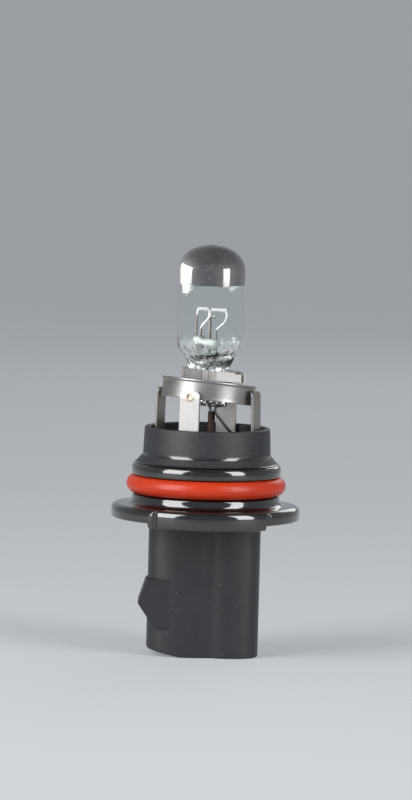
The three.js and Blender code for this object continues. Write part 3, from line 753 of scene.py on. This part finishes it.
def clip_grid(side, ribs):
    """Half clip: an eight-cornered section with eased edges, carried along the strip's path in plan.

    The lower edge is SKIRT_LOW over the pinch and WING_LOW under the wings, by a smooth step.
    A rib adds 0.3 cos^2 to the outer face.
    """
    bends = [
        (-8.0, 0.45, 0), (-5.8, 0.45, 0.4),
        (BULGE_LEFT, 2.3, 0.5), (BULGE_RIGHT, 2.3, 0.6), (10.9, 0.45, 0),
    ]
    corners = rounded(bends, steps=8)
    gaps = np.concatenate([[0], np.cumsum(np.linalg.norm(np.diff(corners, axis=0), axis=1))])
    walk = np.linspace(0, gaps[-1], 260)
    path = np.stack([np.interp(walk, gaps, corners[:, k]) for k in range(2)], axis=-1)
    along = np.gradient(path, axis=0)
    normal = np.stack([-along[:, 1], along[:, 0]], axis=-1) / np.linalg.norm(along, axis=1)[:, None]
    u = path[:, 0]
    over_pinch = smoothstep(u, BULGE_LEFT - 0.2, BULGE_LEFT) * (1 - smoothstep(u, 5.1, 5.4))
    foot = WING_LOW - (WING_LOW - SKIRT_LOW) * over_pinch
    top = CLIP_TOP - 0.35 * smoothstep(u, 9.2, 9.5)
    out = np.array([-0.2, -0.3, -0.3, -0.2, 0.2, 0.3, 0.3, 0.2])
    at_top = np.array([0, 0, 1, 1, 1, 1, 0, 0])
    inwards = np.array([0, 0.1, -0.1, 0, 0, -0.1, 0.1, 0])
    phase = (u - RIB_FIRST) / RIB_PITCH
    near_rib = np.clip(1 - np.abs(phase - np.round(phase)) * 2 / 0.62, 0, 1)
    ribbed = (np.round(phase) >= 0) * (np.round(phase) < RIB_COUNT) * ribs
    rib = 0.3 * np.sin(near_rib * np.pi / 2) ** 2 * ribbed
    offset = out[None] + rib[:, None] * (out > 0)
    plan = path[:, None] + normal[:, None] * offset[..., None]
    z = foot[:, None] + (top - foot)[:, None] * at_top + inwards
    return in_capsule(np.stack([plan[..., 0], -side * plan[..., 1], z], axis=-1))


CLIP_HALVES = [
    ("ribbed_clip_half", 1, 1.0, "pinch_clip_front"),
    ("plain_clip_half", -1, 0.0, "pinch_clip_rear"),
]
for name, side, ribs, node in CLIP_HALVES:
    finished(make_piece(name, [shell(clip_grid(side, ribs))]), clip_steel, "collar_steel", node)

# %% [markdown]
# ## Glass capsule
# The capsule is a quartz tube. One end is drawn into a dome, the other is heated and pinched flat over
# the lead foils. Round the axis its radius is a mix of a circle and a squared-off oval, and the mix
# slides from one to the other up the shoulder. The hollow is a second skin that faces inwards, so light
# bends through a wall of real thickness.

# %% Glass
GLASS_RADIUS, GLASS_WALL = 7.35, 1.0
DOME_BASE, DOME_RISE, DOME_POWER = 85.0, 0.785, 2.2
PINCH_FOOT, NECK, SHOULDER = glass_low[2] + 0.8, 62.9, 69.0
TUBE_ROWS = np.array([69.83, 69.9, 77.0, 83.0, 84.5])
BOWL_POLE, BOWL_RISE = 66.2, 3.6


def dome_rows(size, count=28):
    """Heights and radii of a squared-off quarter oval, from its equator to its pole.

    r = size cos(a)^(2/n) and z = base + rise size sin(a)^(2/n).
    """
    a = np.linspace(0, np.pi / 2, count)
    bend = 2 / DOME_POWER
    return DOME_BASE + DOME_RISE * size * np.sin(a) ** bend, size * np.clip(np.cos(a), 0, 1) ** bend


def capsule_outside(angles):
    """Outer skin: pinch, shoulder, tube and dome. Its radius is oval (1 - s) + circle s, s a smooth step.

    The tube has rows near both its ends, so that its smooth normals stay level between them.
    """
    foot = PINCH_FOOT + np.array([0, 0.06, 0.2, 0.45])
    pinch_rows = np.linspace(PINCH_FOOT + 1, NECK, 10)
    rise = np.concatenate([foot, pinch_rows, np.linspace(NECK + 0.2, SHOULDER, 34)])
    pull = np.concatenate([[0.45, 0.25, 0.08, 0], np.zeros(44)])
    pinch = oval(4.8, 1.7, 7, angles)[None] - pull[:, None]
    mix = smoothstep(rise, NECK - 0.4, SHOULDER + 0.3)[:, None] ** 0.9
    flat = pinch * (1 - mix) + GLASS_RADIUS * mix
    dome_z, dome_r = dome_rows(GLASS_RADIUS)
    z = np.concatenate([rise, TUBE_ROWS, dome_z])
    r = np.concatenate([np.full(len(TUBE_ROWS), GLASS_RADIUS), dome_r])
    r = np.concatenate([flat, np.broadcast_to(r[:, None], (len(r), len(angles)))])
    z = np.broadcast_to(z[:, None], r.shape)
    return in_capsule(np.stack([r * np.cos(angles), r * np.sin(angles), z], axis=-1))


def capsule_inside(angles):
    """Hollow: a bowl that starts at a pole above the pinch, the bore and the inner dome."""
    a = np.linspace(0, np.pi / 2, 18)
    bore = GLASS_RADIUS - GLASS_WALL
    bowl_z = BOWL_POLE + BOWL_RISE * (1 - np.cos(a))
    bowl_r = bore * np.sin(a) ** 0.8
    dome_z, dome_r = dome_rows(bore, 24)
    r = np.concatenate([bowl_r, np.full(len(TUBE_ROWS), bore), dome_r])
    return turned(np.stack([r, np.concatenate([bowl_z, TUBE_ROWS, dome_z])], axis=-1), angles)


glass_angles = full_turn(144)
glass_skins = [shell(capsule_outside(glass_angles)), shell(capsule_inside(glass_angles), hollow=True)]
capsule = make_piece("quartz_capsule", glass_skins, crease=80)

quartz = Finish("quartz", Roughness=0.0, IOR=1.3, Transmission_Weight=1.0)
quartz.feed(Base_Color=quartz.blend(quartz.noise(60, 2), (0.95, 0.99, 0.98), (0.99, 1.0, 1.0)))
shoulder_zone = quartz.band(quartz.axis("Z") / MM, 71.5, 67.0)
ripple = quartz.noise(420, 3, at=quartz.stretched(1, 1, 0.5))
quartz.relief(0.05 * quartz.noise(110, 2) + 1.2 * shoulder_zone * (ripple - 0.5), 0.6)
finished(capsule, quartz, "clear_glass", "glass_envelope")

# %% [markdown]
# ## Black top
# Headlight capsules are dipped in heat-proof black paint so that no light leaves the tip straight at
# other drivers. It's a thin skin over the dome, with a slightly wavy lower edge, and it covers the nub
# where the capsule was sealed.

# %% Coating
COAT_EDGE = coat_low[2]
COAT_OUTSIDE, COAT_INSIDE = 7.5, 7.4
coat_angles = full_turn(180)
wave = 0.16 * np.sin(2 * coat_angles + 1) + 0.07 * np.sin(7 * coat_angles)


def coat_skin(size, lowest):
    """From the wavy edge up to the dome's pole: edge rows, the dome and the sealing nub.

    The nub adds 0.12 (exp(-(r / 1.1)^4) - 0.5 exp(-(r / 0.45)^2)).
    """
    dome_z, dome_r = dome_rows(size, 40)
    straight = np.linspace(lowest, DOME_BASE - 0.3, 4)
    radii = np.concatenate([np.full(4, size), dome_r])
    grid = turned(np.stack([radii, np.concatenate([straight, dome_z])], axis=-1), coat_angles)
    grid[..., 2] += wave * np.clip((DOME_BASE - grid[..., 2]) / (DOME_BASE - lowest), 0, 1)
    near = np.hypot(grid[..., 0], grid[..., 1])
    grid[..., 2] += 0.12 * (np.exp(-((near / 1.1) ** 4)) - 0.5 * np.exp(-((near / 0.45) ** 2)))
    return grid


outer_coat = coat_skin(COAT_OUTSIDE, COAT_EDGE + 0.25)
inner_coat = coat_skin(COAT_INSIDE, COAT_EDGE + 0.3)[::-1]
coating = make_piece("black_top", [shell(np.concatenate([outer_coat, inner_coat]), looped=True)], crease=70)

black = Finish("heatproof_black", IOR=1.5, Coat_IOR=1.65, Coat_Roughness=0.05, Coat_Weight=1.0)
sheen = black.noise(300, 4)
dust = black.specks(1500, 0.2) * black.band(black.noise(500, 3), 0.32, 0.55)
coat_colour = black.blend(sheen, srgb(62, 62, 64), srgb(96, 96, 98))
black.feed(
    Base_Color=black.blend(0.7 * dust, coat_colour, srgb(170, 170, 172)),
    Roughness=0.4 + 0.2 * sheen + 0.2 * dust,
)
black.relief(black.noise(1500, 3) + dust, 0.006)
finished(coating, black, "black_coating", "black_top_coating")

# %% [markdown]
# ## Filaments, posts and bridge
# Inside, two tungsten coils hang between four molybdenum posts, and a glass bead holds the posts apart.
# Posts are wires bent in one plane. A coil is u along its axis with (r sin t, r cos t) round it; its
# ends run off to the post tips.

# %% Wire work
COIL_HEIGHT, COIL_RADIUS, COIL_WIRE, COIL_PITCH = 76.7, 0.32, 0.085, 0.25
POST_RADIUS = 0.22


def in_plane(outline):
    """A (u, height) outline as points in the capsule's plane."""
    return np.stack([outline[:, 0], 0 * outline[:, 0], outline[:, 1]], axis=-1)


def post(outline, radius=POST_RADIUS):
    path = in_plane(rounded(outline, steps=8))
    return shell(in_capsule(swept(path, radius, (0, 1, 0))))


def coil(start, left, right, end):
    """Filament: straight tail, helix from left to right, straight tail."""
    turns = round((right - left) / COIL_PITCH)
    t = np.linspace(0, 1, turns * 18)
    angle = 2 * np.pi * turns * t
    round_it = [COIL_RADIUS * np.sin(angle), COIL_HEIGHT + COIL_RADIUS * np.cos(angle)]
    helix = np.stack([left + (right - left) * t, *round_it], axis=-1)
    path = np.concatenate([np.linspace(start, helix[0], 8)[:-1], helix, np.linspace(helix[-1], end, 8)[1:]])
    return shell(in_capsule(swept(path, COIL_WIRE, (1, 0.01, 0.02), sides=8)))


wires = {
    "low_beam_post": post([
        (-3.3, 62, 0), (-3.3, 66.3, 0.6), (-4.4, 68.2, 0.6), (-4.4, 75.8, 0.7), (-4.0, 76.3, 0),
    ]),
    "common_branch_post": post([(-2.9, 67.3, 0), (-2.9, 72.7, 0.6), (-0.5, 74.7, 0.6), (-0.3, 76.5, 0)]),
    "common_post": post([(0, 62, 0), (0, 75.1, 0.35), (1.6, 75.2, 0)], 0.27),
    "high_beam_post": post([
        (2.4, 62, 0), (2.4, 66.3, 0.6), (1.9, 68.2, 0.6),
        (1.9, 72.3, 0.7), (4.6, 74.1, 0.7), (5.2, 75.9, 0),
    ]),
}


def wire_finish(name, highlight_from):
    """Drawn wire, oxidised grey below a height in millimetres, with a painted highlight above it: pale,
    less metallic colour where the bent wire catches the light.
    """
    wire = Finish(name)
    oxide = wire.noise(500, 4)
    # Painted highlight: above this height the wire is painted pale and less metallic, standing in for the
    # light its bends catch.
    painted_highlight = wire.band(wire.axis("Z") / MM, highlight_from, highlight_from + 0.7)
    grey = wire.blend(oxide, srgb(80, 78, 76), srgb(132, 130, 128))
    wire.feed(
        Base_Color=wire.blend(painted_highlight, grey, srgb(236, 236, 236)),
        Roughness=0.3 + 0.2 * oxide + 0.2 * painted_highlight,
        Metallic=1 - 0.6 * painted_highlight,
    )
    wire.relief(wire.noise(1800, 3), 0.008)
    return wire


# Both finishes carry a painted highlight: above 75.0 mm on the post tips, and above 72.0 mm on the two
# wires whose slanted runs catch the light.
drawn = wire_finish("drawn_wire", 75.0)
bright = wire_finish("bright_wire", 72.0)
for name, skin in wires.items():
    metal = bright if name in ("common_branch_post", "high_beam_post") else drawn
    finished(make_piece(name.replace("post", "wire"), [skin]), metal, "molybdenum", name)

coil_metal = Finish("tungsten_coil", Metallic=0.4)
bloom = coil_metal.noise(1500, 3)
coil_metal.feed(
    Base_Color=coil_metal.blend(bloom, srgb(226, 226, 228), srgb(246, 246, 248)),
    Roughness=0.35 + 0.2 * bloom,
)
low_coil = coil((-4.3, -0.2, 76.2), -3.8, -0.8, (-0.3, -0.2, 76.5))
high_coil = coil((0.1, -0.2, 75.3), 0.5, 4.7, (5.15, -0.2, 75.7))
finished(make_piece("low_beam_coil", [low_coil]), coil_metal, "tungsten", "low_beam_filament")
finished(make_piece("high_beam_coil", [high_coil]), coil_metal, "tungsten", "high_beam_filament")

BEAD_LEFT, BEAD_RIGHT, BEAD_LOW, BEAD_TALL = -5.0, 2.6, 67.95, 2.3
bead_z = BEAD_LOW + BEAD_TALL * np.array([0, 0.03, 0.12, 0.28, 0.5, 0.72, 0.88, 0.97, 1])
bead_share = 2 * (bead_z - BEAD_LOW) / BEAD_TALL - 1
bead_ease = 0.85 * (1 - np.sqrt(np.clip(1 - bead_share**4, 0, 1)))[:, None]
bead_angles = full_turn(96)
bead_r = oval((BEAD_RIGHT - BEAD_LEFT) / 2 - bead_ease, 1.15 - bead_ease, 4, bead_angles)
bead_u = bead_r * np.cos(bead_angles) + (BEAD_LEFT + BEAD_RIGHT) / 2
bead_u = bead_u + 0 * bead_z[:, None]
bead_wave = 0.18 * np.sin(1.4 * bead_u) * (bead_z[:, None] > BEAD_LOW + 1)
bead_height = bead_z[:, None] - 0.08 * bead_u + bead_wave
bead = np.stack([bead_u, bead_r * np.sin(bead_angles), bead_height], axis=-1)
milky = Finish("pressed_bead", IOR=1.46, Transmission_Weight=0.4)
milky.feed(
    Base_Color=milky.blend(milky.noise(600, 4, 0.7), (0.3, 0.32, 0.32), (0.88, 0.9, 0.9)),
    Roughness=0.12 + 0.2 * milky.noise(700, 3),
)
milky.relief(milky.noise(500, 3), 0.14)
glass_bead = make_piece("glass_bead", [shell(in_capsule(bead))], crease=60)
finished(glass_bead, milky, "clear_glass", "glass_bridge")

# %% [markdown]
# ## Foils, leads and sleeve
# Wire can't be sealed into quartz, so each post is welded to a foil thinner than paper inside the
# pinch, and a stout lead goes on from the foil down to its blade. The foils are right as the CAD made
# them, so they only get a better finish. The leads are swept along smooth curves, and the middle one
# wears a brown fibre sleeve.

# %% Leads
foil_metal = Finish("sealed_foil", Metallic=1.0)
crinkle = foil_metal.noise(2200, 4)
foil_metal.feed(
    Base_Color=foil_metal.blend(crinkle, srgb(150, 146, 140), srgb(206, 202, 198)),
    Roughness=0.22 + 0.2 * crinkle,
)
foil_metal.relief(crinkle, 0.02)
for node in ("low_foil", "common_foil", "high_foil"):
    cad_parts[node].data.materials.clear()
    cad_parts[node].data.materials.append(foil_metal.material)


def flowing(points, count=60):
    """Smooth path through points: p(t) = sum over neighbours of the Catmull-Rom weights, as arrays."""
    p = np.array([points[0], *points, points[-1]], float)
    t = np.linspace(0, len(points) - 1 - 1e-9, count)
    i = t.astype(int)
    f = (t - i)[:, None]
    a, b, c, d = p[i], p[i + 1], p[i + 2], p[i + 3]
    return 0.5 * (2 * b + (c - a) * f + (2 * a - 5 * b + 4 * c - d) * f**2 + (3 * b - a - 3 * c + d) * f**3)


PINCH_U = {"low": -3.3, "common": 0.0, "high": 2.4}
LEAD_RADIUS, SLEEVE_RADIUS, SLEEVE_BORE = 0.3, 0.8, 0.5
LEAD_ROUTE = [
    (57.0, 0, 0), (55.2, 0, 0.45), (54.0, 0, 0.8), (50.8, 0.5, 1),
    (47.9, 1, 0.9), (45.9, 1, 0.1), (42.8, 1, 0),
]
sleeve_low, sleeve_high = span("lead_sleeve")
sleeve_at = (sleeve_low[0] + sleeve_high[0]) / 2
for name, u in PINCH_U.items():
    x, y = u * math.cos(CAPSULE_TURN), u * math.sin(CAPSULE_TURN)
    low, high = span(f"{name}_terminal")
    end = (low[0] + high[0]) / 2
    bow = sleeve_at if name == "common" else 0
    route = [(x + (end - x) * share + bow * bowed, y * (1 - share), z) for z, share, bowed in LEAD_ROUTE]
    path = flowing(route)
    lead = make_piece(f"{name}_lead", [shell(swept(path, LEAD_RADIUS, (0, 1, 0)))])
    finished(lead, drawn, "molybdenum", f"{name}_outer_lead")

sleeve_section = rounded([
    (SLEEVE_RADIUS, sleeve_low[2], 0.1), (SLEEVE_RADIUS, sleeve_high[2], 0.1),
    (SLEEVE_BORE, sleeve_high[2], 0.1), (SLEEVE_BORE, sleeve_low[2], 0.1),
], closed=True)
sleeve = turned(sleeve_section, full_turn(32)) + np.array([sleeve_at, 0, 0])
fibre = Finish("fibre_sleeve", Roughness=0.7)
weave = fibre.noise(900, 3, at=fibre.stretched(1, 1, 3))
fibre.feed(Base_Color=fibre.blend(weave, srgb(34, 24, 20), srgb(74, 48, 36)))
fibre.relief(weave, 0.05)
finished(make_piece("fibre_sleeve", [shell(sleeve, looped=True)]), fibre, "brown_sleeve", "lead_sleeve")

# %% [markdown]
# ## Which light reaches the black top
# The two softboxes are placed for the base and the steel. The dome's bright patches come from cards
# further round, so light linking keeps the softboxes off the coating and the cards off everything but
# the coating and the glass.


# %% Light linking
def link_light(light, pieces, state):
    """Light linking: INCLUDE lights only these pieces, EXCLUDE lights all but them."""
    reach = bpy.data.collections.new(f"{light.name}_reach")
    for piece in pieces:
        reach.objects.link(piece)
    for entry in reach.collection_objects:
        entry.light_linking.link_state = state
    light.light_linking.receiver_collection = reach
    print(f"{light.name}: {state.lower()}s {len(pieces)} pieces")


link_light(left_box, [coating], "EXCLUDE")
link_light(right_box, [coating], "EXCLUDE")
link_light(fill_box, [coating], "EXCLUDE")
link_light(left_card, [coating, capsule], "INCLUDE")
link_light(right_card, [coating], "INCLUDE")

# %% Finish
bpy.context.view_layer.update()
